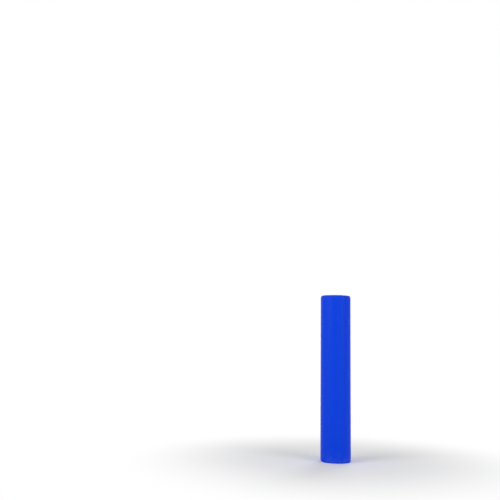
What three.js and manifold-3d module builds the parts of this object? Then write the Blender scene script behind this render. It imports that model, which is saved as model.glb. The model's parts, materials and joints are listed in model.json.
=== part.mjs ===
// Wrap-around safety pad for the round pole of a basketball goal. Millimetres, +Z up.
// The origin is on the pole's axis, at the level of the plate that the pad stands on.
// Eight foam staves, each in its own sewn pocket, hang side by side on one outer vinyl sheet.
// Each stave is round outside and flat inside, where it bears on the pole along its middle.
// The sheet is the hinge between each stave and the next, so the pad rolls open to a flat panel.
// Closed round the pole it meets at the rear (+Y), where a full-length flap presses onto loop tape.

import * as THREE from 'three';
import { mergeVertices } from 'three/addons/utils/BufferGeometryUtils.js';
import Module from 'manifold-3d';

const wasm = await Module();
wasm.setup();

// Pole and pad as a whole

const poleDiameter = 219.1; // an 8-inch steel pipe, outside
const poleClearance = 1.35; // all round the pole, when the flap is closed
const padHeight = 1930;
const staveCount = 8;
const facetsPerStave = 8;

// Foam and cover

const foamThickness = 61.5; // 2.5-inch foam, held a little tight by its cover
const sheetThickness = 1; // coated vinyl cloth
const footSheetThickness = 1.3; // the bottom caps are cut from a heavier sheet
const fitGap = 0.3; // between two pieces that touch
const cutOverrun = 20; // how far a cutting shape runs past what it cuts

// Soft shoulders at the two ends, where the cover is drawn in over the foam's rounded edge

const topShoulder = { inset: 12, drop: 42, steps: 7 };
const bottomShoulder = { inset: 7, drop: 56, steps: 5 };

// Closing flap and its hook-and-loop tapes

const flapEndMargin = 30; // from each end of the pad to the flap
const flapSewnWidth = 20; // the strip of the flap's sheet that is sewn to its stave
const flapFoldToSlit = 18; // from the flap's fold line to the slit
const flapReach = 62; // from the slit to the flap's free edge
const flapCornerRadius = 24;
const flapCornerSteps = 6;
const flapSteps = 16;
const tapeThickness = 1;
const tapePile = 1.5; // the hooks and loops between the two tape backings
const hookTapeWidth = 50;
const loopTapeWidth = 54;
const hookTapeEdgeMargin = 5; // from the flap's free edge to the hook tape
const tapeEndMargin = 12; // from the flap's ends to the hook tape's ends
const loopTapeSpare = 4; // the loop tape is this much longer than the hook tape, at each end

// Sizes worked out from those above

const boreFlat = poleDiameter / 2 + poleClearance; // from the axis to a stave's flat inner face
const foamFlat = boreFlat + sheetThickness + fitGap;
const padRadius = foamFlat + foamThickness + fitGap + sheetThickness;
const staveAngle = (2 * Math.PI) / staveCount;
const slitAngle = Math.PI / 2; // the slit faces +Y
const segments = staveCount * facetsPerStave;
const topSeamRadius = padRadius - topShoulder.inset;
const bottomSeamRadius = padRadius - bottomShoulder.inset;
const skinFootLevel = footSheetThickness - sheetThickness;
const pocketFloor = footSheetThickness + fitGap;
const pocketRoof = padHeight - sheetThickness - fitGap;

// Looks

const vinyl = new THREE.MeshStandardMaterial({ color: 0x0d44df, roughness: 0.45, metalness: 0 });
const foam = new THREE.MeshStandardMaterial({ color: 0xd9d3bd, roughness: 0.95, metalness: 0 });
const tape = new THREE.MeshStandardMaterial({ color: 0x15171c, roughness: 0.9, metalness: 0 });

// A closed three.js geometry as a solid that can be cut and joined.
function solidOf(geometry) {
  const bare = geometry.index ? geometry.toNonIndexed() : geometry.clone();
  bare.deleteAttribute('normal');
  bare.deleteAttribute('uv');
  const merged = mergeVertices(bare);
  return new wasm.Manifold(new wasm.Mesh({
    numProp: 3,
    vertProperties: new Float32Array(merged.attributes.position.array),
    triVerts: new Uint32Array(merged.index.array),
  }));
}

// A solid as a named mesh of the pad, with flat shading for its facets.
function meshOf(name, solid, material) {
  const { vertProperties, triVerts } = solid.getMesh();
  const shared = new THREE.BufferGeometry();
  shared.setAttribute('position', new THREE.BufferAttribute(new Float32Array(vertProperties), 3));
  shared.setIndex(new THREE.BufferAttribute(new Uint32Array(triVerts), 1));
  const geometry = shared.toNonIndexed();
  geometry.computeVertexNormals();
  const mesh = new THREE.Mesh(geometry, material);
  mesh.name = name;
  return mesh;
}

// An outline of [radius, height] points, from the bottom up, spun round the pole's axis.
function revolve(outline) {
  const points = outline.map(([radius, height]) => new THREE.Vector2(radius, height));
  const lathe = new THREE.LatheGeometry(points, segments);
  return solidOf(lathe.rotateX(Math.PI / 2));
}

// A round plate.
function disc(radius, low, high) {
  return revolve([[0, low], [radius, low], [radius, high], [0, high]]);
}

// A quarter ellipse from the pad's straight side to one of its seams, as [radius, height] points.
function shoulder(wide, seamRadius, sideLevel, endLevel, steps) {
  const points = [];
  for (let i = 0; i <= steps; i += 1) {
    const angle = (i / steps) * (Math.PI / 2);
    points.push([
      seamRadius + (wide - seamRadius) * Math.cos(angle),
      sideLevel + (endLevel - sideLevel) * Math.sin(angle),
    ]);
  }
  return points;
}

// The outside of the pad, from the bottom up, drawn inwards all over by a depth.
// The foam and the sheet's inside follow the same two shoulders.
function outside(depth, low, high) {
  const wide = padRadius - depth;
  const foot = shoulder(wide, bottomSeamRadius, bottomShoulder.drop, low, bottomShoulder.steps);
  const head = shoulder(wide, topSeamRadius, padHeight - topShoulder.drop, high, topShoulder.steps);
  return [...foot.reverse(), ...head];
}

// A prism round one stave about +X: its inner face square to X, its sides drawn in from the
// stave's two radial planes, open to the outside.
function stavePrism(sideInset, innerFace) {
  const apex = sideInset / Math.sin(staveAngle / 2);
  const reach = padRadius + cutOverrun;
  const halfWidthAt = (x) => (x - apex) * Math.tan(staveAngle / 2);
  const shape = new THREE.Shape([
    new THREE.Vector2(innerFace, -halfWidthAt(innerFace)),
    new THREE.Vector2(reach, -halfWidthAt(reach)),
    new THREE.Vector2(reach, halfWidthAt(reach)),
    new THREE.Vector2(innerFace, halfWidthAt(innerFace)),
  ]);
  const prism = new THREE.ExtrudeGeometry(shape, {
    depth: padHeight + 2 * cutOverrun,
    bevelEnabled: false,
  });
  return solidOf(prism.translate(0, 0, -cutOverrun));
}

// Everything inside the outer sheet, between the two caps.
function pocketFill() {
  const outer = outside(sheetThickness + fitGap, pocketFloor, pocketRoof);
  return revolve([[0, pocketFloor], ...outer, [0, pocketRoof]]);
}

// The outer sheet over one stave, its two ends turned in over the foam's shoulders to the seams.
function outerSkin() {
  const outer = outside(0, skinFootLevel, padHeight);
  const inner = outside(sheetThickness, footSheetThickness, padHeight - sheetThickness);
  return revolve([...outer, ...inner.reverse(), outer[0]]).intersect(stavePrism(fitGap / 2, boreFlat));
}

function foamStave() {
  return pocketFill().intersect(stavePrism(fitGap / 2 + sheetThickness + fitGap, foamFlat));
}

// The pocket's sheet: a flat wall against the pole and a wall up each side of the foam.
function pocketLiner() {
  const hollow = stavePrism(fitGap / 2 + sheetThickness, boreFlat + sheetThickness);
  return pocketFill().intersect(stavePrism(fitGap / 2, boreFlat)).subtract(hollow);
}

function topCap() {
  const plate = disc(topSeamRadius - fitGap, padHeight - sheetThickness, padHeight);
  return plate.intersect(stavePrism(fitGap / 2, boreFlat));
}

function bottomCap() {
  const plate = disc(bottomSeamRadius - fitGap, 0, footSheetThickness);
  return plate.intersect(stavePrism(fitGap / 2, boreFlat));
}

// The closing flap lies over the slit, seen from above with +Y outwards and arcs measured from the slit.
// Its fold line and its sewn strip are on the last stave, and its free edge is over the first.

const arcAngle = (arc, radius) => slitAngle + arc / radius;
const tapeBackRadius = padRadius + fitGap + tapeThickness;
const hookTapeInnerRadius = tapeBackRadius + tapePile;
const flapInnerRadius = hookTapeInnerRadius + tapeThickness + fitGap;
const flapSeatRadius = padRadius + fitGap;
const flapLow = flapEndMargin;
const flapHigh = padHeight - flapEndMargin;
const hookTapeArc = flapReach - hookTapeEdgeMargin - hookTapeWidth;

// A sheet that bends round the pad, between two arcs from the slit, at an inner radius given by a function.
function bentSheet(arcStart, arcEnd, steps, innerRadiusAt, thickness, low, high) {
  const inner = [];
  const outer = [];
  for (let i = 0; i <= steps; i += 1) {
    const arc = arcStart + (arcEnd - arcStart) * (i / steps);
    const angle = arcAngle(arc, padRadius);
    const radius = innerRadiusAt(arc);
    inner.push(new THREE.Vector2(radius * Math.cos(angle), radius * Math.sin(angle)));
    outer.push(new THREE.Vector2(
      (radius + thickness) * Math.cos(angle), (radius + thickness) * Math.sin(angle),
    ));
  }
  const shape = new THREE.Shape([...inner.reverse(), ...outer]);
  const sheet = new THREE.ExtrudeGeometry(shape, { depth: high - low, bevelEnabled: false });
  return solidOf(sheet.translate(0, 0, low));
}

// The flap's inner radius: at its fold it lies on the sheet, and before the tapes it has risen over them.
function flapRise(arc) {
  const share = THREE.MathUtils.smoothstep(arc, -flapFoldToSlit, hookTapeArc);
  return flapSeatRadius + (flapInnerRadius - flapSeatRadius) * share;
}

// The flap's outline seen from behind, square at its fold and rounded at the free edge's corners.
function flapOutline() {
  const foldSide = cutOverrun + flapFoldToSlit;
  const freeSide = -padRadius * Math.sin(flapReach / padRadius);
  const shape = new THREE.Shape();
  shape.moveTo(foldSide, flapLow);
  shape.lineTo(foldSide, flapHigh);
  shape.lineTo(freeSide + flapCornerRadius, flapHigh);
  shape.absarc(
    freeSide + flapCornerRadius, flapHigh - flapCornerRadius, flapCornerRadius,
    Math.PI / 2, Math.PI,
  );
  shape.lineTo(freeSide, flapLow + flapCornerRadius);
  shape.absarc(
    freeSide + flapCornerRadius, flapLow + flapCornerRadius, flapCornerRadius,
    Math.PI, 1.5 * Math.PI,
  );
  const depth = padRadius + cutOverrun;
  const prism = new THREE.ExtrudeGeometry(shape, {
    depth,
    bevelEnabled: false,
    curveSegments: flapCornerSteps,
  });
  return solidOf(prism.rotateX(Math.PI / 2).translate(0, depth, 0));
}

function closureFlap() {
  const start = -flapFoldToSlit + fitGap / 2;
  return bentSheet(
    start, flapReach + cutOverrun, flapSteps, flapRise, sheetThickness, flapLow, flapHigh,
  ).intersect(flapOutline());
}

function flapAnchor() {
  const end = -flapFoldToSlit - fitGap / 2;
  return bentSheet(
    end - flapSewnWidth, end, facetsPerStave / 2, () => flapSeatRadius, sheetThickness,
    flapLow, flapHigh,
  );
}

function hookTape() {
  return bentSheet(
    hookTapeArc, hookTapeArc + hookTapeWidth, facetsPerStave, () => hookTapeInnerRadius, tapeThickness,
    flapLow + tapeEndMargin, flapHigh - tapeEndMargin,
  );
}

function loopTape() {
  const middle = hookTapeArc + hookTapeWidth / 2;
  const spare = tapeEndMargin - loopTapeSpare;
  return bentSheet(
    middle - loopTapeWidth / 2, middle + loopTapeWidth / 2, facetsPerStave, () => flapSeatRadius,
    tapeThickness, flapLow + spare, flapHigh - spare,
  );
}

// The eight staves, numbered anticlockwise from the slit as seen from above

const pad = new THREE.Group();

const stavePieces = [
  ['foam_stave', foamStave(), foam],
  ['pocket_liner', pocketLiner(), vinyl],
  ['outer_skin', outerSkin(), vinyl],
  ['top_cap', topCap(), vinyl],
  ['bottom_cap', bottomCap(), vinyl],
];

for (let number = 1; number <= staveCount; number += 1) {
  const stave = new THREE.Group();
  stave.rotation.z = slitAngle + (number - 0.5) * staveAngle;
  for (const [kind, solid, material] of stavePieces) {
    stave.add(meshOf(`${kind}_${number}`, solid, material));
  }
  pad.add(stave);
}

pad.add(meshOf('flap_anchor', flapAnchor(), vinyl));
pad.add(meshOf('closure_flap', closureFlap(), vinyl));
pad.add(meshOf('hook_tape', hookTape(), tape));
pad.add(meshOf('loop_tape', loopTape(), tape));

export default pad;
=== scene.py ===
# A basketball pole pad: foam staves in a vinyl cover that closes at the rear. Metres, +Z up.
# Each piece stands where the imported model's own piece stands, and takes its sizes from it where it can.

import json
import math

import bmesh
import bpy
from mathutils import Matrix, Vector, noise


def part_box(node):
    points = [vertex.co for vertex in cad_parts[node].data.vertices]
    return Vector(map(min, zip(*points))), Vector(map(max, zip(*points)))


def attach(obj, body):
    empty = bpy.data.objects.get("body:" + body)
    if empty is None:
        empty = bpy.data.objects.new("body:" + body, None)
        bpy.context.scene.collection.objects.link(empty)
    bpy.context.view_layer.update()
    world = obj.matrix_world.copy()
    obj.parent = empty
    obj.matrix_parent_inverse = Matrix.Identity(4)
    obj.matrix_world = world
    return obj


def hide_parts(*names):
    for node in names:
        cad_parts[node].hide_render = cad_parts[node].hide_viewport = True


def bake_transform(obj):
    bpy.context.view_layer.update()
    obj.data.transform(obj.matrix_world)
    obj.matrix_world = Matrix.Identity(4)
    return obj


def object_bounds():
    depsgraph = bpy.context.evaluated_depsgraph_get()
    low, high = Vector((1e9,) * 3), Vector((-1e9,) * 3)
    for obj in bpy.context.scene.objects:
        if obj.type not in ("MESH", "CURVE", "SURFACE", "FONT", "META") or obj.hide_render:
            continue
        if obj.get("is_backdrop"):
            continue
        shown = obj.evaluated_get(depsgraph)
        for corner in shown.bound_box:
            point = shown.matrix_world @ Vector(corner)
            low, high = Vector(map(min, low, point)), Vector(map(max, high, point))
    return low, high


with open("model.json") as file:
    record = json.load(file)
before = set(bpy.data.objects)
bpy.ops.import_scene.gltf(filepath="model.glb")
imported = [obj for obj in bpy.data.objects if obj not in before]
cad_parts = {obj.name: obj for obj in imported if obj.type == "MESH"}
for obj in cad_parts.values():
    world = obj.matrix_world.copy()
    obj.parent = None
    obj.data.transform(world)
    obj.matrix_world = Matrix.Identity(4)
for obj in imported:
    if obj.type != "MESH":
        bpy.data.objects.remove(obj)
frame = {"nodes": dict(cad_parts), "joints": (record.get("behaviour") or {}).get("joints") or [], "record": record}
cad_low, cad_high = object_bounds()

# Foam staves
# Upholstery foam this thick doesn't bend into a tube, so it is sawn into eight staves. Each is flat
# on its inner face, round outside, and planed off towards both its ends.

joints = {joint["name"]: joint for joint in frame["joints"]}
mounts = {mount["name"]: mount for mount in frame["record"]["mounts"]}
stave_count = sum(name.startswith("foam_stave_") for name in frame["nodes"])
stave_angle = 2 * math.pi / stave_count
slit_angle = math.pi / 2
pad_radius = Vector(joints["fold_4"]["pos_m"]).xy.length
bore_flat = Vector(mounts["pole_face"]["pos_m"]).xy.length
pad_height = cad_high.z
fit_gap = 0.0003
head_seam = fit_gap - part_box("top_cap_5")[0].y
foot_seam = fit_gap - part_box("bottom_cap_5")[0].y
head_drop = 0.042
foot_drop = 0.056
shoulder_steps = 8
foam_edge_radius = 0.003
foam_corner = 0.010
foam_setback = 0.0028
foam_slack = 0.002
foam_cream = (0.75, 0.69, 0.50, 1)
sawn_angle = math.radians(40)
crease_angle = math.radians(38)


def mid_angle(number):
    """The direction of a stave's middle, counted anticlockwise from the slit at the rear."""
    return slit_angle + (number - 0.5) * stave_angle


def place_at(reach, angle, level):
    """The point at a distance from the axis, in a direction round it and at a level."""
    return Vector((reach * math.cos(angle), reach * math.sin(angle), level))


def reach_at(level, depth=0.0):
    """How far the pad's side stands from the axis at a level, less a depth under its outer face."""
    side = pad_radius - depth
    head_share = (level + depth - (pad_height - head_drop)) / head_drop
    foot_share = (foot_drop - level + depth) / foot_drop
    for share, seam in ((head_share, head_seam), (foot_share, foot_seam)):
        if share > 0:
            return seam + (side - seam) * math.sqrt(max(0.0, 1 - share * share))
    return side


def shoulder_levels(low, high):
    """Levels through both shoulders, closer together towards the ends."""
    turns = [math.pi / 2 * step / shoulder_steps for step in range(shoulder_steps)]
    head_start = pad_height - head_drop
    foot = [foot_drop - (foot_drop - low) * math.sin(turn) for turn in turns]
    head = [head_start + (high - head_start) * math.sin(turn) for turn in turns]
    return foot + head


def turn_to_stave(bm, number):
    """Turns a mesh that was made about +X to one stave's place."""
    turn = Matrix.Rotation(mid_angle(number), 3, "Z")
    bmesh.ops.rotate(bm, verts=bm.verts[:], cent=(0, 0, 0), matrix=turn)


def finish_mesh(bm, mesh, sharp_angle=crease_angle):
    """Puts what was modelled into a piece's mesh, smooth but for its sharp edges."""
    bm.to_mesh(mesh)
    bm.free()
    mesh.shade_smooth()
    mesh.set_sharp_from_angle(angle=sharp_angle)


def new_piece(name, bm, material, sharp_angle=crease_angle):
    """A modelled shape as a shown piece of one material."""
    mesh = bpy.data.meshes.new(name)
    finish_mesh(bm, mesh, sharp_angle)
    mesh.materials.append(material)
    piece = bpy.data.objects.new(name, mesh)
    bpy.context.collection.objects.link(piece)
    return piece


def add_node(tree, kind, inputs=None, **settings):
    """A shader node with its settings, each input given as a value or wired to another node's output."""
    node = tree.nodes.new("ShaderNode" + kind)
    for name, value in settings.items():
        setattr(node, name, value)
    for name, value in (inputs or {}).items():
        if isinstance(value, bpy.types.NodeSocket):
            tree.links.new(value, node.inputs[name])
        else:
            node.inputs[name].default_value = value
    return node


def add_group(tree, group, **inputs):
    """A node group placed in a material, with its inputs given by their names."""
    return add_node(tree, "Group", inputs, node_tree=group)


def new_group(name, inputs, outputs):
    """An empty shader node group with named sockets, and its input and output nodes."""
    group = bpy.data.node_groups.new(name, "ShaderNodeTree")
    for label, kind in inputs.items():
        group.interface.new_socket(label, in_out="INPUT", socket_type="NodeSocket" + kind)
    for label, kind in outputs.items():
        group.interface.new_socket(label, in_out="OUTPUT", socket_type="NodeSocket" + kind)
    return group, group.nodes.new("NodeGroupInput"), group.nodes.new("NodeGroupOutput")


def new_material(name, roughness, specular, sheen=0.0):
    """A material, its node tree and its shader, with the numbers that are the same all over it."""
    material = bpy.data.materials.new(name)
    material.use_nodes = True
    shader = material.node_tree.nodes["Principled BSDF"]
    shader.inputs["Roughness"].default_value = roughness
    shader.inputs["Specular IOR Level"].default_value = specular
    shader.inputs["Sheen Weight"].default_value = sheen
    return material, material.node_tree, shader


def mottle_group():
    """A colour that drifts a little lighter and darker over a piece."""
    group, given, out = new_group(
        "mottle",
        {"Vector": "Vector", "Colour": "Color", "Scale": "Float", "Amount": "Float"},
        {"Colour": "Color", "Drift": "Float"},
    )
    drift = add_node(
        group, "TexNoise",
        {"Vector": given.outputs["Vector"], "Scale": given.outputs["Scale"], "Detail": 5.0},
    )
    centred = add_node(group, "Math", {0: drift.outputs["Fac"], 1: 0.5}, operation="SUBTRACT")
    swing = add_node(
        group, "Math", {0: centred.outputs[0], 1: given.outputs["Amount"]}, operation="MULTIPLY"
    )
    value = add_node(group, "Math", {0: swing.outputs[0], 1: 1.0}, operation="ADD")
    shade = add_node(group, "HueSaturation", {"Value": value.outputs[0], "Color": given.outputs["Colour"]})
    group.links.new(shade.outputs["Color"], out.inputs["Colour"])
    group.links.new(drift.outputs["Fac"], out.inputs["Drift"])
    return group


mottle = mottle_group()


def foam_material():
    """Open cells of many sizes in cream foam, cut through by the saw."""
    material, tree, shader = new_material("cream_foam", roughness=0.95, specular=0.1, sheen=0.2)
    place = add_node(tree, "TexCoord").outputs["Object"]
    colour = add_group(tree, mottle, Vector=place, Colour=foam_cream, Scale=40.0, Amount=0.25)
    cells = add_node(tree, "TexVoronoi", {"Vector": place, "Scale": 700.0}, feature="DISTANCE_TO_EDGE")
    bump = add_node(
        tree, "Bump", {"Height": cells.outputs["Distance"], "Distance": 0.0008, "Strength": 0.8}
    )
    tree.links.new(colour.outputs["Colour"], shader.inputs["Base Color"])
    tree.links.new(bump.outputs["Normal"], shader.inputs["Normal"])
    return material


def points_among(parts):
    """The points among the parts that a mesh operator gives back."""
    return [part for part in parts if isinstance(part, bmesh.types.BMVert)]


def stave_prism(wide, inner_face, gap, low, high, arc_steps):
    """A stave's plain prism about +X: an arc outside, a flat inside, its sides drawn in by a gap."""
    bm = bmesh.new()
    half_turn = stave_angle / 2 - math.asin(gap / wide)
    apex = gap / math.sin(stave_angle / 2)
    half_width = (inner_face - apex) * math.tan(stave_angle / 2)
    start = bm.verts.new(place_at(wide, -half_turn, low))
    bmesh.ops.spin(
        bm, geom=[start], cent=(0, 0, 0), axis=(0, 0, 1), angle=2 * half_turn, steps=arc_steps
    )
    corners = [bm.verts.new((inner_face, side * half_width, low)) for side in (1, -1)]
    bm.faces.new(bm.verts)
    bmesh.ops.bevel(
        bm, geom=corners, offset=foam_corner, segments=5, profile=0.5, affect="VERTICES", material=-1
    )
    raised = bmesh.ops.extrude_face_region(bm, geom=bm.faces[:])["geom"]
    bmesh.ops.translate(bm, verts=points_among(raised), vec=(0, 0, high - low))
    bmesh.ops.recalc_face_normals(bm, faces=bm.faces[:])
    return bm


def draw_in(bm, depth, slack=0.0):
    """Brings a mesh in to the pad's shoulders, a depth under the outer face and a slack off the cover."""
    for vert in bm.verts:
        limit = reach_at(vert.co.z, depth) - slack
        if vert.co.xy.length > limit:
            vert.co.xy = vert.co.xy * (limit / vert.co.xy.length)


foam_look = foam_material()
foam_depth = pad_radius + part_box("foam_stave_5")[0].y
for number in range(1, stave_count + 1):
    low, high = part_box(f"foam_stave_{number}")
    bm = stave_prism(
        pad_radius - foam_depth, bore_flat + foam_setback, foam_setback, low.z, high.z, arc_steps=20
    )
    for level in shoulder_levels(low.z, high.z):
        everything = bm.verts[:] + bm.edges[:] + bm.faces[:]
        bmesh.ops.bisect_plane(bm, geom=everything, plane_co=(0, 0, level), plane_no=(0, 0, 1))
    draw_in(bm, foam_depth, foam_slack)
    sawn_edges = [edge for edge in bm.edges if edge.calc_face_angle(0) > sawn_angle]
    bmesh.ops.bevel(
        bm, geom=sawn_edges, offset=foam_edge_radius, segments=3, profile=0.5, affect="EDGES", material=-1
    )
    turn_to_stave(bm, number)
    foam_stave = new_piece(f"foam_core_{number}", bm, foam_look)
    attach(foam_stave, f"stave_{number}")
    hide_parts(f"foam_stave_{number}")

# Pockets
# Each stave stands in a pocket of coated cloth. One length of it lies flat on the foam's inner face
# and turns up both its sides, where its two edges are sewn to the outer sheet.

cloth_thickness = 0.001
pocket_inset = 1.2 * cloth_thickness
pocket_corner = 0.009
pocket_swell = 0.0009
pocket_fullness = 0.75
pocket_unevenness = 0.5
pocket_crown = 0.004
pocket_pucker = 0.0012
pocket_slack = 0.0016
pocket_row = 0.008
# Waves to a metre, across and up
pocket_dent_waves = 9, 5
pocket_pucker_waves = 14, 34
pocket_sag_waves = 12, 9
pocket_sag_seed = 3.0
cap_roll = 0.003
pocket_blue = (0.0007, 0.0400, 0.600, 1)
dust_colour = (0.36, 0.42, 0.58, 1)
foot_wear_reach = 0.16
head_wear_reach = 0.05
cloth_pitch = 0.0014


def weave_group():
    """Threads over and under each other, on a map laid out in metres."""
    group, given, out = new_group("weave", {"Vector": "Vector", "Pitch": "Float"}, {"Height": "Float"})
    scale = add_node(group, "Math", {0: math.pi, 1: given.outputs["Pitch"]}, operation="DIVIDE")
    stretched = add_node(
        group, "VectorMath", {0: given.outputs["Vector"], "Scale": scale.outputs[0]}, operation="SCALE"
    )
    split = add_node(group, "SeparateXYZ", {0: stretched.outputs[0]})
    warp = add_node(group, "Math", {0: split.outputs["X"]}, operation="SINE")
    weft = add_node(group, "Math", {0: split.outputs["Y"]}, operation="SINE")
    crossing = add_node(group, "Math", {0: warp.outputs[0], 1: weft.outputs[0]}, operation="MULTIPLY")
    height = add_node(group, "Math", {0: crossing.outputs[0]}, operation="ABSOLUTE")
    group.links.new(height.outputs[0], out.inputs["Height"])
    return group


def grain_group():
    """The fine pebbled face that is rolled into a vinyl coating."""
    group, given, out = new_group("grain", {"Vector": "Vector", "Scale": "Float"}, {"Height": "Float"})
    pebbles = add_node(
        group, "TexVoronoi", {"Vector": given.outputs["Vector"], "Scale": given.outputs["Scale"]},
        feature="SMOOTH_F1",
    )
    sunk = add_node(group, "Math", {0: 1.0, 1: pebbles.outputs["Distance"]}, operation="SUBTRACT")
    group.links.new(sunk.outputs[0], out.inputs["Height"])
    return group


def wear_group():
    """A mask of scuffs and dust, thickest at one level and gone at a distance from it."""
    group, given, out = new_group(
        "wear", {"Vector": "Vector", "Level": "Float", "Reach": "Float"}, {"Mask": "Float"}
    )
    height = add_node(group, "SeparateXYZ", {0: given.outputs["Vector"]}).outputs["Z"]
    above = add_node(group, "Math", {0: height, 1: given.outputs["Level"]}, operation="SUBTRACT")
    away = add_node(group, "Math", {0: above.outputs[0]}, operation="ABSOLUTE")
    share = add_node(group, "Math", {0: away.outputs[0], 1: given.outputs["Reach"]}, operation="DIVIDE")
    near = add_node(group, "Math", {0: 1.0, 1: share.outputs[0]}, operation="SUBTRACT", use_clamp=True)
    patches = add_node(
        group, "TexNoise",
        {"Vector": given.outputs["Vector"], "Scale": 14.0, "Detail": 6.0, "Roughness": 0.6},
    )
    sparse = add_node(
        group, "MapRange", {"Value": patches.outputs["Fac"], "From Min": 0.45, "From Max": 0.85}
    )
    closer = add_node(group, "Math", {0: near.outputs[0], 1: 2.0}, operation="POWER")
    mask = add_node(group, "Math", {0: closer.outputs[0], 1: sparse.outputs[0]}, operation="MULTIPLY")
    group.links.new(mask.outputs[0], out.inputs["Mask"])
    return group


weave = weave_group()
grain = grain_group()
wear = wear_group()


def coated_cloth(name, colour, roughness, dust):
    """Vinyl-coated cloth: a satin face with a fine grain, the base cloth's weave just showing through."""
    material, tree, shader = new_material(name, roughness=roughness, specular=0.09)
    coord = add_node(tree, "TexCoord")
    place, layout = coord.outputs["Object"], coord.outputs["UV"]
    drifting = add_group(tree, mottle, Vector=place, Colour=colour, Scale=7.0, Amount=0.09)
    foot_wear = add_group(tree, wear, Vector=place, Level=0.0, Reach=foot_wear_reach)
    head_wear = add_group(tree, wear, Vector=place, Level=pad_height, Reach=head_wear_reach)
    worn = add_node(
        tree, "Math", {0: foot_wear.outputs["Mask"], 1: head_wear.outputs["Mask"]},
        operation="ADD", use_clamp=True,
    )
    dusty = add_node(tree, "Math", {0: worn.outputs[0], 1: dust}, operation="MULTIPLY")
    mixed = add_node(
        tree, "Mix", {0: dusty.outputs[0], 6: drifting.outputs["Colour"], 7: dust_colour}, data_type="RGBA"
    )
    dull = add_node(
        tree, "MapRange",
        {"Value": drifting.outputs["Drift"], "To Min": roughness - 0.05, "To Max": roughness + 0.08},
    )
    pebbled = add_group(tree, grain, Vector=place, Scale=1100.0).outputs["Height"]
    woven = add_group(tree, weave, Vector=layout, Pitch=cloth_pitch).outputs["Height"]
    fine = add_node(tree, "Bump", {"Height": pebbled, "Distance": 0.00006, "Strength": 0.5})
    bump = add_node(
        tree, "Bump",
        {"Height": woven, "Distance": 0.00005, "Strength": 0.6, "Normal": fine.outputs["Normal"]},
    )
    tree.links.new(mixed.outputs[2], shader.inputs["Base Color"])
    tree.links.new(dull.outputs["Result"], shader.inputs["Roughness"])
    tree.links.new(bump.outputs["Normal"], shader.inputs["Normal"])
    return material


def lay_out(bm, flat_place):
    """A cloth map in metres, from where each point lay on the cloth when it was flat."""
    layer = bm.loops.layers.uv.new("cloth")
    for face in bm.faces:
        for loop in face.loops:
            loop[layer].uv = flat_place(loop.vert.co)


def cut_cloth(arcs, levels, columns, rows):
    """A flat cut of sheet as a grid, x across and y up, its own flat place as its cloth map."""
    bm = bmesh.new()
    bmesh.ops.create_grid(bm, x_segments=columns, y_segments=rows, size=0.5)
    bmesh.ops.scale(bm, verts=bm.verts[:], vec=(arcs[1] - arcs[0], levels[1] - levels[0], 1))
    bmesh.ops.translate(bm, verts=bm.verts[:], vec=(sum(arcs) / 2, sum(levels) / 2, 0))
    lay_out(bm, lambda place: place.xy)
    return bm


def unevenness(seed, place, waves):
    """A random rise and fall over a cloth, at a place on it, with so many waves to a metre each way."""
    return noise.noise(Vector((seed, waves[0] * place[0], waves[1] * place[1])))


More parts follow.
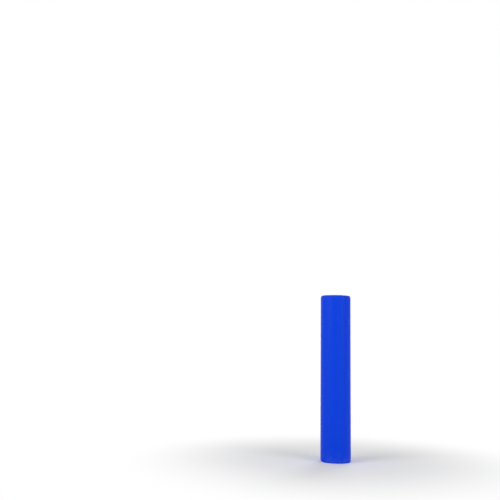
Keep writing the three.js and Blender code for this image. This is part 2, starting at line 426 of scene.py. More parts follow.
pocket_look = coated_cloth("pocket_cloth", pocket_blue, roughness=0.5, dust=0.15)
pocket_low = cap_roll
pocket_high = pad_height - cap_roll
pocket_rows = round((pocket_high - pocket_low) / pocket_row)
pocket_rise = (pocket_high - pocket_low) / pocket_rows
plane_gap = fit_gap / 2
side_reach = pad_radius - pocket_inset
edge_place = place_at(side_reach, stave_angle / 2 - plane_gap / pad_radius, pocket_low)
corner_place = Vector((bore_flat, (bore_flat - plane_gap) * math.tan(stave_angle / 2), pocket_low))
corner_offset = pocket_corner * math.tan((math.pi - stave_angle) / 4)
half_width = corner_place.y
wall_share = 1 / math.cos(stave_angle / 2) - math.tan(stave_angle / 2)
mirror = Matrix.Diagonal((1, -1, 1))
bends = (edge_place, corner_place, mirror @ corner_place, mirror @ edge_place)
for number in range(1, stave_count + 1):
    bm = bmesh.new()
    plan = [bm.verts.new(place) for place in bends]
    for pair in zip(plan, plan[1:]):
        bm.edges.new(pair)
    bmesh.ops.bevel(
        bm, geom=plan[1:3], offset=corner_offset, segments=6, profile=0.5, affect="VERTICES", material=-1
    )
    long_walls = [edge for edge in bm.edges if edge.calc_length() > 2 * pocket_corner]
    bmesh.ops.subdivide_edges(bm, edges=long_walls, cuts=9)
    bmesh.ops.spin(
        bm, geom=bm.verts[:] + bm.edges[:], cent=(0, 0, 0), axis=(0, 0, 1), dvec=(0, 0, pocket_rise),
        steps=pocket_rows,
    )
    for vert in bm.verts:
        edge_share = min(1.0, abs(vert.co.y) / half_width)
        depth_share = min(1.0, max(0.0, vert.co.x - bore_flat) / (pad_radius - bore_flat))
        dent = unevenness(number, vert.co.yz, pocket_dent_waves)
        pucker = unevenness(number, vert.co.yz, pocket_pucker_waves)
        drawn = (pocket_crown * edge_share + pocket_pucker * pucker) * edge_share ** 3
        swell = pocket_swell * (1 - edge_share ** 2) * (pocket_fullness + pocket_unevenness * dent)
        vert.co.x += (drawn - swell) * (1 - depth_share)
        inward, upward = pocket_sag_waves[0] * vert.co.x, pocket_sag_waves[1] * vert.co.z
        sag = 0.5 + 0.5 * noise.noise(Vector((number + inward, pocket_sag_seed, upward)))
        vert.co.y -= math.copysign(pocket_slack * sag * math.sin(math.pi * depth_share), vert.co.y)
    draw_in(bm, pocket_inset)
    bmesh.ops.recalc_face_normals(bm, faces=bm.faces[:])
    inner = min(bm.faces, key=lambda face: face.calc_center_median().x)
    if inner.normal.x > 0:
        bmesh.ops.reverse_faces(bm, faces=bm.faces[:])
    lay_out(bm, lambda place: (place.y + math.copysign(wall_share * place.x, place.y), place.z))
    bm.normal_update()
    bmesh.ops.solidify(bm, geom=bm.faces[:], thickness=cloth_thickness)
    turn_to_stave(bm, number)
    pocket = new_piece(f"pocket_wall_{number}", bm, pocket_look)
    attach(pocket, f"stave_{number}")
    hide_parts(f"pocket_liner_{number}")

# Caps
# The pocket's two ends are closed by caps of the same cloth, and of a heavier one under the foot.
# Each is sewn round all its edges, so it is drawn tight at the seams and stands up between them.

cap_crown = 0.003
cap_crown_reach = 0.022
cap_fullness = 0.8
cap_unevenness = 0.5
cap_waves = 12, 12
seam_dip = 0.001
cover_blue = (0.0008, 0.0520, 0.735, 1)
foot_blue = (0.0007, 0.0380, 0.560, 1)


def cap_grid(rim):
    """A flat sector about +X from the bore's flat to a rim, as a grid of faces that look up."""
    bm = bmesh.new()
    start = bm.verts.new((0, 0, 0))
    end = bm.verts.new((1, 0, 0))
    ray = bm.edges.new((start, end))
    bmesh.ops.subdivide_edges(bm, edges=[ray], cuts=19)
    half_turn = stave_angle / 2 - fit_gap / 2 / rim
    bmesh.ops.translate(bm, verts=bm.verts[:], vec=(1, 0, 0))
    bmesh.ops.rotate(bm, verts=bm.verts[:], cent=(0, 0, 0), matrix=Matrix.Rotation(-half_turn, 3, "Z"))
    bmesh.ops.spin(
        bm, geom=bm.verts[:] + bm.edges[:], cent=(0, 0, 0), axis=(0, 0, 1), angle=2 * half_turn, steps=30
    )
    for vert in bm.verts:
        share = vert.co.xy.length - 1
        angle = math.atan2(vert.co.y, vert.co.x)
        nearest = bore_flat / math.cos(angle)
        reach = nearest + (rim - nearest) * share
        vert.co = place_at(reach, angle, 0)
    bmesh.ops.recalc_face_normals(bm, faces=bm.faces[:])
    if bm.faces[:][0].normal.z < 0:
        bmesh.ops.reverse_faces(bm, faces=bm.faces[:])
    return bm


def edge_distances(place, rim):
    """How far a point of a cap is from its two sides, from the bore's flat and from its rim."""
    angle = math.atan2(place.y, place.x)
    to_side = place.xy.length * math.sin(stave_angle / 2 - abs(angle))
    return max(0.0, to_side), place.x - bore_flat, rim - place.xy.length


def cap_height(number, place, rim, crown):
    """How high a cap's outer face stands over its seams, at a place in the stave's own frame."""
    to_side, to_bore, to_rim = edge_distances(place, rim)
    past = Vector((max(0.0, cap_roll - to_side), max(0.0, cap_roll - to_bore)))
    roll = cap_roll - math.sqrt(max(0.0, cap_roll ** 2 - past.length_squared))
    inward = min(to_side, to_bore, to_rim) / cap_crown_reach
    fullness = cap_fullness + cap_unevenness * unevenness(number, place.xy, cap_waves)
    swell = crown * fullness * (1 - (1 - min(1.0, inward)) ** 2)
    groove = seam_dip * math.exp(-to_rim / seam_dip) if crown else 0.0
    return swell - roll - groove


cap_look = coated_cloth("cap_cloth", cover_blue, roughness=0.48, dust=0.2)
foot_look = coated_cloth("foot_cloth", foot_blue, roughness=0.62, dust=0.8)
for number in range(1, stave_count + 1):
    for kind, rim, crown, look, slot_name in (
        ("top", head_seam, cap_crown, cap_look, "outer_vinyl"),
        ("bottom", foot_seam, 0.0, foot_look, "foot_vinyl"),
    ):
        bm = cap_grid(rim)
        for vert in bm.verts:
            vert.co.z = cap_height(number, vert.co, rim, crown)
        lay_out(bm, lambda place: place.xy)
        bmesh.ops.solidify(bm, geom=bm.faces[:], thickness=cloth_thickness)
        if kind == "bottom":
            bmesh.ops.scale(bm, verts=bm.verts[:], vec=(1, 1, -1))
            bmesh.ops.reverse_faces(bm, faces=bm.faces[:])
        else:
            bmesh.ops.translate(bm, verts=bm.verts[:], vec=(0, 0, pad_height))
        turn_to_stave(bm, number)
        cap = new_piece(f"{kind}_end_{number}", bm, look)
        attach(cap, f"stave_{number}")
        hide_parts(f"{kind}_cap_{number}")

# Outer sheet
# One sheet of satin vinyl goes round all eight staves. It is sewn to the pockets' sides along each
# fold, so it swells a little between the folds, puckers at the thread, and turns in over both ends.

fold_swell = 0.0012
fold_roundness = 0.007
pucker_height = 0.0004
pucker_reach = 0.011
pucker_start = 0.002
pucker_waves = 20
pucker_waves_up = 75
dent_height = 0.0007
dent_start = 0.02
dent_waves = 3.1
swell_start = 0.02
slit_lip = 0.004
sheet_columns = 20
sheet_rows = 270
# From the slit, the sheet lies flat under the flap's sewn strip and under the loop tape
flat_under_anchor = 0.040
flat_under_tape = 0.062
sewn_reach = 0.0065
slack_growth = 0.007
gathered_growth = 0.025
gathered_reach = 0.09
foam_push = 4.0
settling_steps = 20
sheet_lift = 0.0024
gather_height = 0.0024
gather_reach = 0.024
gather_seam = 0.003
gather_pitch = 0.0085
gather_start = 0.01
gather_fullness = 0.5
gather_unevenness = 0.7


def smooth_share(value, start, end):
    """0 up to a start, 1 past an end, and a smooth rise between."""
    share = min(1.0, max(0.0, (value - start) / (end - start)))
    return share * share * (3 - 2 * share)


def past_slit(angle):
    """The arc on the pad's side from the slit to a direction, more than 0 towards the first stave."""
    return math.remainder(angle - slit_angle, 2 * math.pi) * pad_radius


def off_fold(angle):
    """The arc on the pad's side from the nearest fold to a direction."""
    return abs(math.remainder(angle, stave_angle)) * pad_radius


def off_end(level):
    """How far a level is from the nearer end of the pad."""
    return min(level, pad_height - level)


def flat_reach(from_slit):
    """How far from the slit the sheet lies flat, on the side of the slit that an arc from it is on."""
    return flat_under_tape if from_slit > 0 else flat_under_anchor


def sheet_stand(angle, level):
    """How far the outer sheet stands off its plain round shape."""
    from_slit = past_slit(angle)
    from_fold = off_fold(angle)
    flat_zone = flat_reach(from_slit)
    free = smooth_share(abs(from_slit), flat_zone, flat_zone + swell_start)
    end_share = smooth_share(off_end(level), 0.0, swell_start)
    swell = fold_swell * (1 - math.exp(-from_fold / fold_roundness))
    ring = place_at(1, angle, level)
    crinkle = noise.noise(Vector((ring.x * pucker_waves, ring.y * pucker_waves, level * pucker_waves_up)))
    off_thread = 1 - math.exp(-from_fold / pucker_start)
    pucker = pucker_height * math.exp(-from_fold / pucker_reach) * crinkle * off_thread
    dent = dent_height * noise.noise(ring * dent_waves) * (1 - math.exp(-from_fold / dent_start))
    lip = max(0.0, slit_lip - abs(from_slit))
    return free * end_share * (swell + pucker + dent) - slit_lip + math.sqrt(slit_lip ** 2 - lip ** 2)


def sheet_place(angle, share):
    """A point of the outer sheet's face, at a share of the way along its outline from foot to head."""
    head_length = math.pi / 2 * math.sqrt((head_drop ** 2 + (pad_radius - head_seam) ** 2) / 2)
    foot_length = math.pi / 2 * math.sqrt((foot_drop ** 2 + (pad_radius - foot_seam) ** 2) / 2)
    straight = pad_height - head_drop - foot_drop
    along = share * (foot_length + straight + head_length) - foot_length
    if along < 0:
        turn = math.pi / 2 * along / foot_length
        reach = foot_seam + (pad_radius - foot_seam) * math.cos(turn)
        level = foot_drop + (foot_drop - fit_gap) * math.sin(turn)
    elif along > straight:
        turn = math.pi / 2 * (along - straight) / head_length
        reach = head_seam + (pad_radius - head_seam) * math.cos(turn)
        level = pad_height - head_drop + head_drop * math.sin(turn)
        level -= seam_dip * math.exp(-(reach - head_seam) / seam_dip)
    else:
        reach, level = pad_radius, foot_drop + along
    reach += sheet_stand(angle, level)
    return place_at(reach, angle, level)


def mark(piece, name, weigh):
    """A named weight on a piece's points, worked out from where each point is."""
    group = piece.vertex_groups.new(name=name)
    for vert in piece.data.vertices:
        group.add([vert.index], weigh(vert.co), "REPLACE")


def gathered_share(place):
    """How strongly a sheet is gathered at a place: fully at the pad's two ends, where it is drawn in."""
    return 1 - smooth_share(off_end(place.z), 0, gathered_reach)


def settle(sheets, highest_lift):
    """Lets slack sheets settle as cloth over foam, held along their seams, and applies what they come to.

    The foam lets no point sink, and no point lifts by more than a set height.
    """
    for sheet in sheets:
        cloth = sheet.modifiers.new("cloth", "CLOTH")
        cloth.settings.vertex_group_mass = "sewn"
        cloth.settings.vertex_group_shrink = "gathered"
        cloth.settings.shrink_min = -slack_growth
        cloth.settings.shrink_max = -gathered_growth
        cloth.settings.quality = 4
        cloth.settings.mass = 0.02
        cloth.settings.tension_stiffness = 40
        cloth.settings.compression_stiffness = 20
        cloth.settings.shear_stiffness = 10
        cloth.settings.bending_stiffness = 0.5
        cloth.settings.use_pressure = True
        cloth.settings.uniform_pressure_force = foam_push
        cloth.settings.effector_weights.gravity = 0
        cloth.point_cache.frame_end = settling_steps
    for step in range(1, settling_steps + 1):
        bpy.context.scene.frame_set(step)
    graph = bpy.context.evaluated_depsgraph_get()
    for sheet in sheets:
        settled = [vert.co.copy() for vert in sheet.evaluated_get(graph).data.vertices]
        sheet.modifiers.clear()
        for vert, place in zip(sheet.data.vertices, settled):
            rise = max(0.0, (place - vert.co).dot(vert.normal))
            vert.co += vert.normal * highest_lift * (1 - math.exp(-rise / highest_lift))
    bpy.context.scene.frame_set(1)


def sheet_hold(place):
    """1 where the outer sheet is held: along each fold, at both ends and beside the slit."""
    angle = math.atan2(place.y, place.x)
    from_slit = past_slit(angle)
    at_end = off_end(place.z) < sewn_reach / 2
    held = off_fold(angle) < sewn_reach or abs(from_slit) < flat_reach(from_slit) or at_end
    return 1.0 if held else 0.0


def gather_rise(place):
    """How far the sheet stands up in the small gathers beside the seams round the pad's two ends."""
    from_fold = off_fold(math.atan2(place.y, place.x))
    from_end = off_end(place.z)
    near_end = math.exp(-from_end / gather_reach) * (1 - math.exp(-from_end / gather_seam))
    ring = place.xy.normalized() * pad_radius / gather_pitch
    crinkle = noise.noise(Vector((ring.x, ring.y, place.z / gather_reach)))
    gather = max(0.0, gather_fullness + gather_unevenness * crinkle)
    return gather_height * gather * near_end * (1 - math.exp(-((from_fold / gather_start) ** 2)))


outer_look = coated_cloth("outer_cloth", cover_blue, roughness=0.46, dust=0.25)
panels = []
for number in range(1, stave_count + 1):
    first = mid_angle(number) - stave_angle / 2
    bm = cut_cloth((0, stave_angle * pad_radius), (0, pad_height), sheet_columns, sheet_rows)
    for vert in bm.verts:
        vert.co = sheet_place(first + vert.co.x / pad_radius, vert.co.y / pad_height)
    panel = new_piece(f"sheet_panel_{number}", bm, outer_look)
    mark(panel, "sewn", sheet_hold)
    mark(panel, "gathered", gathered_share)
    panels.append(panel)
settle(panels, sheet_lift)
for number, panel in enumerate(panels, start=1):
    panel.vertex_groups.clear()
    bm = bmesh.new()
    bm.from_mesh(panel.data)
    bmesh.ops.subdivide_edges(bm, edges=bm.edges[:], cuts=1, smooth=1.0, use_grid_fill=True)
    for vert in bm.verts:
        vert.co.xy = vert.co.xy * (1 + gather_rise(vert.co) / vert.co.xy.length)
    bm.normal_update()
    bmesh.ops.solidify(bm, geom=bm.faces[:], thickness=cloth_thickness)
    finish_mesh(bm, panel.data)
    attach(panel, f"stave_{number}")
    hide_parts(f"outer_skin_{number}")

# Seam stitching
# Heavy bonded thread holds the outer sheet to the pockets' sides in a row each side of every fold,
# and the top caps inside their rims. It lies half sunk in the cloth.

stitch_pitch = 0.005
stitch_length = 0.0036
thread_thickness = 0.0010
fold_row_inset = 0.0035
cap_row_inset = 0.0045
seam_start = 0.004
seam_end = 0.997
thread_blue = (0.010, 0.085, 0.80, 1)


def thread_material():
    """Twisted blue thread, a little paler than the cloth."""
    material, tree, shader = new_material("bonded_thread", roughness=0.6, specular=0.25, sheen=0.1)
    place = add_node(tree, "TexCoord").outputs["Object"]
    colour = add_group(tree, mottle, Vector=place, Colour=thread_blue, Scale=60.0, Amount=0.3)
    twist = add_node(
        tree, "TexWave", {"Vector": place, "Scale": 900.0, "Distortion": 1.0}, bands_direction="DIAGONAL"
    )
    bump = add_node(tree, "Bump", {"Height": twist.outputs["Fac"], "Distance": 0.0001, "Strength": 0.7})
    tree.links.new(colour.outputs["Colour"], shader.inputs["Base Color"])
    tree.links.new(bump.outputs["Normal"], shader.inputs["Normal"])
    return material


def sew(bm, path):
    """Adds a row of stitches along a path of points to a mesh."""
    guide_curve = bpy.data.curves.new("guide", "CURVE")
    guide_curve.dimensions = "3D"
    line = guide_curve.splines.new("POLY")
    line.points.add(len(path) - 1)
    for point, place in zip(line.points, path):
        point.co = (*place, 1)
    guide = bpy.data.objects.new("guide", guide_curve)
    stitch = bmesh.new()
    bmesh.ops.create_icosphere(stitch, subdivisions=1, radius=0.5)
    bmesh.ops.scale(stitch, verts=stitch.verts[:], vec=(stitch_length, thread_thickness, thread_thickness))
    bmesh.ops.translate(stitch, verts=stitch.verts[:], vec=(stitch_pitch / 2, 0, 0))
    stitch_mesh = bpy.data.meshes.new("stitch")
    stitch.to_mesh(stitch_mesh)
    stitch.free()
    row = bpy.data.objects.new("row", stitch_mesh)
    repeat = row.modifiers.new("repeat", "ARRAY")
    repeat.use_relative_offset = False
    repeat.use_constant_offset = True
    repeat.constant_offset_displace = (stitch_pitch, 0, 0)
    path_length = sum((after - before).length for before, after in zip(path, path[1:]))
    repeat.count = int(path_length / stitch_pitch)
    follow = row.modifiers.new("follow", "CURVE")
    follow.object = guide
    for helper in (guide, row):
        bpy.context.collection.objects.link(helper)
    bpy.context.view_layer.update()
    sewn = bpy.data.meshes.new_from_object(row.evaluated_get(bpy.context.evaluated_depsgraph_get()))
    bm.from_mesh(sewn)
    for helper in (guide, row):
        bpy.data.objects.remove(helper)
    bpy.data.curves.remove(guide_curve)
    for mesh in (stitch_mesh, sewn):
        bpy.data.meshes.remove(mesh)


def steps_between(start, end, count):
    """Evenly spaced values from a start to an end, both included."""
    return [start + (end - start) * step / count for step in range(count + 1)]


thread_look = thread_material()


def stitches(name, rows, body):
    """A piece of stitches in rows along paths of points, which rides on a body."""
    bm = bmesh.new()
    for path in rows:
        sew(bm, path)
    piece = new_piece(name, bm, thread_look, sharp_angle=math.pi)
    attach(piece, body)
    return piece


for number in range(1, stave_count + 1):
    rows = []
    first = mid_angle(number) - stave_angle / 2
    for angle, side in ((first, 1), (first + stave_angle, -1)):
        if abs(math.remainder(angle - slit_angle, 2 * math.pi)) < stave_angle / 2:
            continue
        row_angle = angle + side * fold_row_inset / pad_radius
        shares = steps_between(seam_start, seam_end, count=240)
        rows.append([sheet_place(row_angle, share) for share in shares])
    row_reach = head_seam - cap_row_inset
    cap_turn = stave_angle / 2 - cap_row_inset / head_seam
    to_stave = Matrix.Rotation(mid_angle(number), 3, "Z")
    cap_path = []
    for turn in steps_between(-cap_turn, cap_turn, count=24):
        place = place_at(row_reach, turn, 0)
        place.z = pad_height + cap_height(number, place, head_seam, cap_crown)
        cap_path.append(to_stave @ place)
    rows.append(cap_path)
    stitches(f"seam_stitches_{number}", rows, f"stave_{number}")

# Loop tape
# A woven nylon strip with a pile of brushed loops, sewn to the first stave's sheet beside the slit.
# The closing flap's hooks press into it.

tape_thickness = 0.001
pile_gap = 0.0015
pile_height = 0.8 * pile_gap
# A loop's mean share of that height, how unevenly it stands, how far brushing sways it, and the least
pile_stand = 0.55
pile_fuzz = 0.45
pile_sway = 0.2
pile_least = 0.1
fuzz_waves = 420
sway_waves = 60
seat_radius = pad_radius + fit_gap
loop_back = seat_radius + tape_thickness
selvedge = 0.004
tape_pitch = 0.0012
tape_row_inset = 0.0022
loop_corner = 0.012
loop_black = (0.011, 0.012, 0.016, 1)
loop_low, loop_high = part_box("loop_tape")
loop_levels = loop_low.z, loop_high.z


def arc_from_slit(x, reach):
    """The arc on the pad's side from the slit to a place, given across the rear."""
    return -math.asin(x / reach) * pad_radius


def tape_material(name, colour, lump, sheen):
    """Nylon tape: a woven ground with a fuzz on it that catches the light unevenly."""
    material, tree, shader = new_material(name, roughness=0.85, specular=0.2, sheen=sheen)
    coord = add_node(tree, "TexCoord")
    place, layout = coord.outputs["Object"], coord.outputs["UV"]
    drifting = add_group(tree, mottle, Vector=place, Colour=colour, Scale=90.0, Amount=0.9)
    woven = add_group(tree, weave, Vector=layout, Pitch=tape_pitch).outputs["Height"]
    fuzz = add_node(tree, "TexNoise", {"Vector": place, "Scale": 900.0, "Detail": 4.0}).outputs["Fac"]
    ground = add_node(tree, "Bump", {"Height": woven, "Distance": 0.0003, "Strength": 0.7})
    bump = add_node(
        tree, "Bump",
        {"Height": fuzz, "Distance": lump, "Strength": 0.9, "Normal": ground.outputs["Normal"]},
    )
    tree.links.new(drifting.outputs["Colour"], shader.inputs["Base Color"])
    tree.links.new(bump.outputs["Normal"], shader.inputs["Normal"])
    return material


def wrap_round(bm, reach, thickness):
    """Bends a flat cut round the pad by its arcs from the slit, its outer face at a reach."""
    for vert in bm.verts:
        vert.co = place_at(reach, slit_angle + vert.co.x / pad_radius, vert.co.y)
    bm.normal_update()
    bmesh.ops.solidify(bm, geom=bm.faces[:], thickness=thickness)


def arc_and_reach(place):
    """A point's arc from the slit and its distance from the axis."""
    return past_slit(math.atan2(place.y, place.x)), place.xy.length


def round_off(arc, level, free, levels, corner):
    """A flat place on a strip, drawn in where the strip's free corners are cut round."""
    middle = sum(levels) / 2
    across = arc - (free - corner)
    along = abs(level - middle) - ((levels[1] - levels[0]) / 2 - corner)
    if across > 0 and along > 0:
        share = max(across, along) / math.hypot(across, along)
        arc = free - corner + across * share
        level -= math.copysign(along * (1 - share), level - middle)
    return arc, level


def edge_path(arcs, levels):
    """Flat places round three sides of a strip, from its near side round its free edge and back."""
    out = [(arc, levels[0]) for arc in steps_between(*arcs, count=40)]
    up = [(arcs[1], level) for level in steps_between(*levels, count=600)[1:]]
    back = [(arc, levels[1]) for arc in steps_between(*reversed(arcs), count=40)[1:]]
    return out + up + back


def loop_place(arc, level, reach):
    """A point of the loop tape from its place on the flat strip."""
    arc, level = round_off(arc, level, loop_arcs[1], loop_levels, loop_corner)
    return place_at(reach, slit_angle + arc / pad_radius, level)


loop_arcs = arc_from_slit(loop_high.x, seat_radius), arc_from_slit(loop_low.x, loop_back)
bm = cut_cloth(loop_arcs, loop_levels, columns=27, rows=840)
wrap_round(bm, loop_back, tape_thickness)
for vert in bm.verts:
    arc, reach = arc_and_reach(vert.co)
    level = vert.co.z
    inside = min(arc - loop_arcs[0], loop_arcs[1] - arc, level - loop_low.z, loop_high.z - level)
    if reach > seat_radius + tape_thickness / 2 and inside > selvedge:
        loops = pile_stand + pile_fuzz * noise.noise(vert.co * fuzz_waves)
        loops += pile_sway * noise.noise(vert.co * sway_waves)
        reach += pile_height * max(pile_least, loops)
    vert.co = loop_place(arc, level, reach)
loop_look = tape_material("loop_pile", loop_black, lump=0.0006, sheen=0.5)
loop_tape = new_piece("loop_pile_tape", bm, loop_look)
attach(loop_tape, "stave_1")
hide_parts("loop_tape")

row_arcs = loop_arcs[0] + tape_row_inset, loop_arcs[1] - tape_row_inset
row_levels = loop_low.z + tape_row_inset, loop_high.z - tape_row_inset
three_edges = [loop_place(arc, level, loop_back) for arc, level in edge_path(row_arcs, row_levels)]
near_edge = [loop_place(row_arcs[0], level, loop_back) for level in row_levels]
stitches("loop_tape_stitches", [three_edges, near_edge], "stave_1")

# Closing flap
# A strip of the same vinyl, sewn to the last stave by one edge, folds over the slit and onto the tape.
# Its three free edges are turned over in a narrow hem, and its free corners are cut round.

flap_hem = 0.011
hem_thickness = 0.0008
flap_corner = 0.024
hem_row_inset = 0.007
hook_row_inset = 0.0025
anchor_row_inset = 0.0035
flap_ripple = 0.0011
flap_ripple_start = 0.03
flap_ripple_waves = 3, 11
flap_ripple_seed = 0.5
flap_slack = 0.0008
flap_slack_waves = 12, 6
flap_slack_seed = 7.5
flap_bend = 0.007
flap_low, flap_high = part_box("closure_flap")
anchor_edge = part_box("flap_anchor")[1].x
hook_low, hook_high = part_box("hook_tape")
anchor_face = seat_radius + cloth_thickness
flap_face = seat_radius + 2 * tape_thickness + pile_gap + fit_gap + cloth_thickness
fold_place = Vector(joints["flap_fold"]["pos_m"])
fold_arc = arc_from_slit(fold_place.x, fold_place.xy.length)
anchor_arc = arc_from_slit(anchor_edge, anchor_face)
free_arc = arc_from_slit(flap_low.x, pad_radius)
hook_reach = seat_radius + tape_thickness + pile_gap
hook_arcs = arc_from_slit(hook_high.x, hook_reach), arc_from_slit(hook_low.x, hook_reach + tape_thickness)
flap_levels = flap_low.z, flap_high.z


def flap_place(arc, level, off):
    """A point of the flap, given by its place on the flat cut and its height off the outer face."""
    arc, level = round_off(arc, level, free_arc, flap_levels, flap_corner)
    rise = (flap_face - anchor_face) * smooth_share(arc, fold_arc, hook_arcs[0])
    loose = smooth_share(arc, hook_arcs[1] - flap_ripple_start, free_arc)
    ripple = unevenness(flap_ripple_seed, (arc, level), flap_ripple_waves)
    wave = flap_ripple * loose * (0.5 + 0.5 * ripple)
    sway = unevenness(flap_slack_seed, (arc, level), flap_slack_waves)
    slack = flap_slack * smooth_share(arc, fold_arc, 0.0) * sway
    reach = anchor_face + rise + wave + slack + off
    return place_at(reach, slit_angle + arc / pad_radius, level)


bm = cut_cloth((anchor_arc, free_arc), flap_levels, columns=50, rows=500)
wrap_round(bm, flap_face, cloth_thickness)
hem_faces = []
for face in bm.faces:
    arc, reach = arc_and_reach(face.calc_center_median())
    level = face.calc_center_median().z
    from_end = min(level - flap_low.z, flap_high.z - level)
    if reach > flap_face - cloth_thickness / 2 and (free_arc - arc < flap_hem or from_end < flap_hem):
        hem_faces.append(face)
turned_over = bmesh.ops.extrude_face_region(bm, geom=hem_faces)["geom"]
for vert in points_among(turned_over):
    vert.co.xy = vert.co.xy * (1 + hem_thickness / flap_face)
bmesh.ops.delete(bm, geom=[face for face in hem_faces if face.is_valid], context="FACES")
for vert in bm.verts:
    arc, reach = arc_and_reach(vert.co)
    vert.co = flap_place(arc, vert.co.z, reach - flap_face)
flap = new_piece("flap_sheet", bm, outer_look)
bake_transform(flap)
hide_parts("closure_flap", "flap_anchor")

hem_arcs = fold_arc + flap_bend, free_arc - hem_row_inset
hem_ends = flap_low.z + hem_row_inset, flap_high.z - hem_row_inset
hem_row = [flap_place(arc, level, hem_thickness) for arc, level in edge_path(hem_arcs, hem_ends)]
hook_sides = free_arc - flap_hem, hook_arcs[0] + hook_row_inset
hook_ends = hook_low.z + hook_row_inset, hook_high.z - hook_row_inset
hook_row = [flap_place(arc, level, 0.0) for arc, level in edge_path(hook_sides, hook_ends)]
flap_stitches = stitches("flap_stitches", [hem_row, hook_row], "flap")

anchor_rows = []
for arc in (anchor_arc + anchor_row_inset, fold_arc - flap_bend - anchor_row_inset / 2):
    anchor_rows.append([flap_place(arc, level, 0.0) for level in steps_between(*hem_ends, count=100)])
anchor_stitches = stitches("flap_anchor_stitches", anchor_rows, "stave_8")

# Hook tape
# A woven nylon strip sewn inside the flap. Its face is rows of small bent nylon hooks,
# which catch in the loop tape.

hook_pitch = 0.004
hook_wire = 0.00045
hook_stem = 0.0007
hook_bend = 0.0003
hook_turn = math.radians(150)
hook_black = (0.008, 0.009, 0.012, 1)
bm = cut_cloth(hook_arcs, (hook_low.z, hook_high.z), columns=12, rows=180)
wrap_round(bm, hook_reach + tape_thickness, tape_thickness)
hook_look = tape_material("hook_tape_web", hook_black, lump=0.0002, sheen=0.15)
hook_tape = new_piece("hook_web_tape", bm, hook_look)
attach(hook_tape, "flap")
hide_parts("hook_tape")

rows = []
for arc in (hook_arcs[0] + tape_row_inset / 2, hook_arcs[1] - tape_row_inset / 2):
    turn = Matrix.Rotation(slit_angle + arc / pad_radius, 3, "Z")
    levels = steps_between(hook_low.z + tape_row_inset, hook_high.z - tape_row_inset, count=20)
    rows.append([turn @ Vector((hook_reach, 0, level)) for level in levels])
stitches("hook_tape_stitches", rows, "flap")

bm = bmesh.new()
bmesh.ops.create_circle(bm, segments=3, radius=hook_wire / 2)
stem = bmesh.ops.extrude_edge_only(bm, edges=bm.edges[:])["geom"]
stem_end = points_among(stem)
bmesh.ops.translate(bm, verts=stem_end, vec=(0, 0, hook_stem))
rim = [part for part in stem if isinstance(part, bmesh.types.BMEdge) and len(part.link_faces) == 1]
rim = [edge for edge in rim if all(vert in stem_end for vert in edge.verts)]
bmesh.ops.spin(
    bm, geom=rim + stem_end, cent=(0, hook_bend, hook_stem), axis=(-1, 0, 0), angle=hook_turn, steps=3
)
bmesh.ops.holes_fill(bm, edges=bm.edges[:], sides=3)
bmesh.ops.recalc_face_normals(bm, faces=bm.faces[:])
to_axis = Matrix.Rotation(-math.pi / 2, 3, "Y")
bmesh.ops.rotate(bm, verts=bm.verts[:], cent=(0, 0, 0), matrix=to_axis)
hook_columns = int((hook_arcs[1] - hook_arcs[0] - 2 * hook_row_inset) / hook_pitch)
first_arc = (hook_arcs[0] + hook_arcs[1] - hook_columns * hook_pitch) / 2
to_first = Matrix.Rotation(slit_angle + first_arc / pad_radius, 3, "Z")
bmesh.ops.translate(bm, verts=bm.verts[:], vec=(hook_reach, 0, hook_low.z + 2 * hook_row_inset))
bmesh.ops.rotate(bm, verts=bm.verts[:], cent=(0, 0, 0), matrix=to_first)
bmesh.ops.spin(
    bm, geom=bm.verts[:] + bm.edges[:] + bm.faces[:], cent=(0, 0, 0), axis=(0, 0, 1),
    angle=hook_columns * hook_pitch / pad_radius, steps=hook_columns, use_duplicate=True,
)
hooks = new_piece("nylon_hooks", bm, hook_look)
repeat = hooks.modifiers.new("rows", "ARRAY")
repeat.use_relative_offset = False
repeat.use_constant_offset = True
repeat.constant_offset_displace = (0, 0, hook_pitch)
repeat.count = int((hook_high.z - hook_low.z - 4 * hook_row_inset) / hook_pitch)
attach(hooks, "flap")

# Studio
# A plain pale floor that fades into white, with broad soft lamps from the front and a weak one behind.
# The camera stands where the photograph was taken from.

floor_radius = 60.0
fade_start = 0.6
fade_end = 2.6
floor_grey = (0.86, 0.86, 0.86, 1)
white = (1, 1, 1, 1)


def seen_plainly(tree):
    """1 on a ray that shows the backdrop: from the camera, off a glossy face or through a clear one."""
    ray = add_node(tree, "LightPath").outputs
    seen = add_node(tree, "Math", {0: ray["Is Camera Ray"], 1: ray["Is Glossy Ray"]}, operation="MAXIMUM")
    through = {0: seen.outputs[0], 1: ray["Is Transmission Ray"]}
    return add_node(tree, "Math", through, operation="MAXIMUM").outputs[0]


def floor_material():
    """Matt paper under the pad, which fades into plain white with the distance."""
    material = bpy.data.materials.new("floor")
    material.use_nodes = True
    tree = material.node_tree
    tree.nodes.clear()
    ground = add_node(tree, "TexCoord").outputs["Object"]
    away = add_node(tree, "VectorMath", {0: ground}, operation="LENGTH").outputs["Value"]
    fade = add_node(
        tree, "MapRange", {"Value": away, "From Min": fade_start, "From Max": fade_end},
        interpolation_type="SMOOTHSTEP",
    )
    share = add_node(tree, "Math", {0: fade.outputs[0], 1: seen_plainly(tree)}, operation="MULTIPLY")
    matt = add_node(tree, "BsdfDiffuse", {"Color": floor_grey})
    glow = add_node(tree, "Emission", {"Color": white, "Strength": 1.0})
    mixed = add_node(tree, "MixShader", {0: share.outputs[0], 1: matt.outputs[0], 2: glow.outputs[0]})
    add_node(tree, "OutputMaterial", {"Surface": mixed.outputs[0]})
    return material


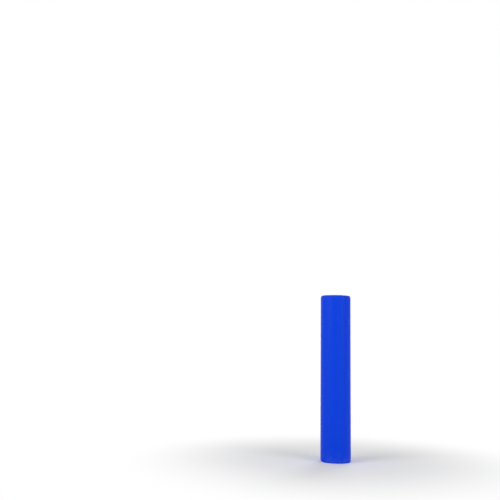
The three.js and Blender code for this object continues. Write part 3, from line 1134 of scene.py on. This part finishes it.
bm = bmesh.new()
bmesh.ops.create_circle(bm, cap_ends=True, segments=64, radius=floor_radius)
floor = new_piece("floor", bm, floor_material())
floor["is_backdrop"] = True

world = bpy.data.worlds.new("studio")
bpy.context.scene.world = world
world.use_nodes = True
tree = world.node_tree
tree.nodes.clear()
ambient = add_node(tree, "Background", {"Color": white, "Strength": 0.45})
backdrop = add_node(tree, "Background", {"Color": white, "Strength": 1.0})
mixed = add_node(tree, "MixShader", {0: seen_plainly(tree), 1: ambient.outputs[0], 2: backdrop.outputs[0]})
add_node(tree, "OutputWorld", {"Surface": mixed.outputs[0]})

camera_place = Vector((4.7935, -7.0269, 1.36))
camera_yaw = 41.312
camera_pitch = 7.499
camera_roll = 0.920
camera_lens = 50.54
camera_data = bpy.data.cameras.new("camera")
camera_data.lens = camera_lens
camera = bpy.data.objects.new("camera", camera_data)
bpy.context.collection.objects.link(camera)
turn = Matrix.Rotation(math.radians(camera_yaw), 4, "Z")
tilt = Matrix.Rotation(math.radians(90 + camera_pitch), 4, "X")
roll = Matrix.Rotation(math.radians(camera_roll), 4, "Z")
camera.matrix_world = Matrix.Translation(camera_place) @ turn @ tilt @ roll
bpy.context.scene.camera = camera


def soft_lamp(name, azimuth, elevation, distance, size, power):
    """A square lamp that faces the pad's middle."""
    lamp_data = bpy.data.lights.new(name, "AREA")
    lamp_data.size = size
    lamp_data.energy = power
    lamp = bpy.data.objects.new(name, lamp_data)
    bpy.context.collection.objects.link(lamp)
    spin, lift = math.radians(azimuth), math.radians(elevation)
    away = Vector((math.sin(spin) * math.cos(lift), -math.cos(spin) * math.cos(lift), math.sin(lift)))
    lamp.location = away * distance + Vector((0, 0, pad_height / 2))
    lamp.rotation_euler = away.to_track_quat("Z", "Y").to_euler()


soft_lamp("front_left", azimuth=-15, elevation=25, distance=5.5, size=3.0, power=118)
soft_lamp("front_right", azimuth=85, elevation=20, distance=5.5, size=3.0, power=92)
soft_lamp("rear", azimuth=200, elevation=35, distance=6.0, size=2.5, power=90)

view_settings = bpy.context.scene.view_settings
view_settings.view_transform = "Standard"

low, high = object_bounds()
